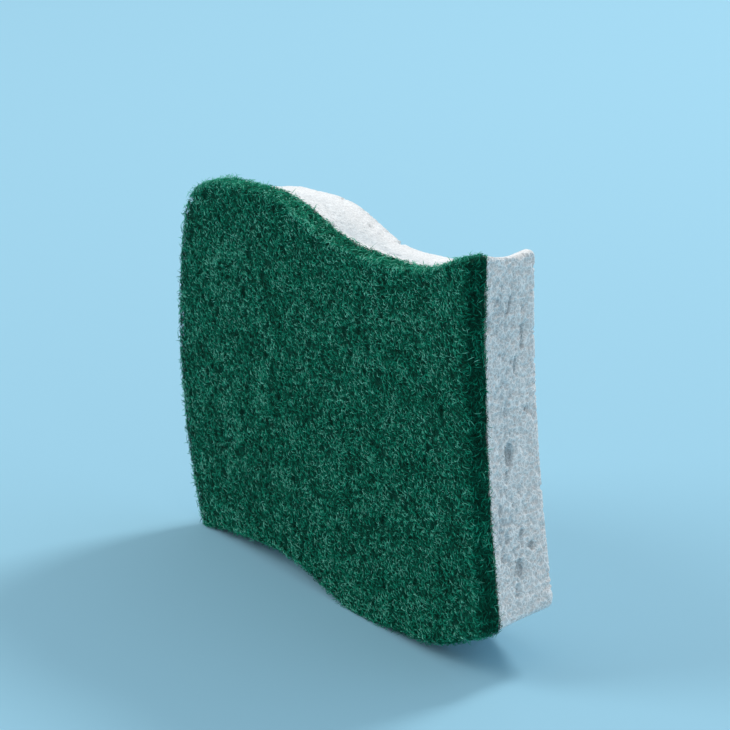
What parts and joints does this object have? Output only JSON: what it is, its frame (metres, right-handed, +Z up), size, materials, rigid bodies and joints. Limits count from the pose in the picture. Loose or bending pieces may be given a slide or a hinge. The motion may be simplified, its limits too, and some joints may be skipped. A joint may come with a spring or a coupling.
{
  "type": "cleaning sponge",
  "caption": "Two-layer cleaning sponge with wavy long sides: a green nonwoven scouring pad bonded to a white cellulose sponge block.",
  "frame": {"origin": "middle of the floor patch under the sponge as it stands on its lower long side", "axes": "+Z up, +X along the length towards the hollow right end, -Y out of the green scouring face"},
  "size_m": [0.12, 0.02, 0.0847],
  "materials": {
    "green_fibre_web": "matte",
    "white_cellulose": "matte"
  },
  "bodies": {
    "root": {"scouring_pad": "green_fibre_web", "cellulose_sponge": "white_cellulose"}
  },
  "joints": []
}
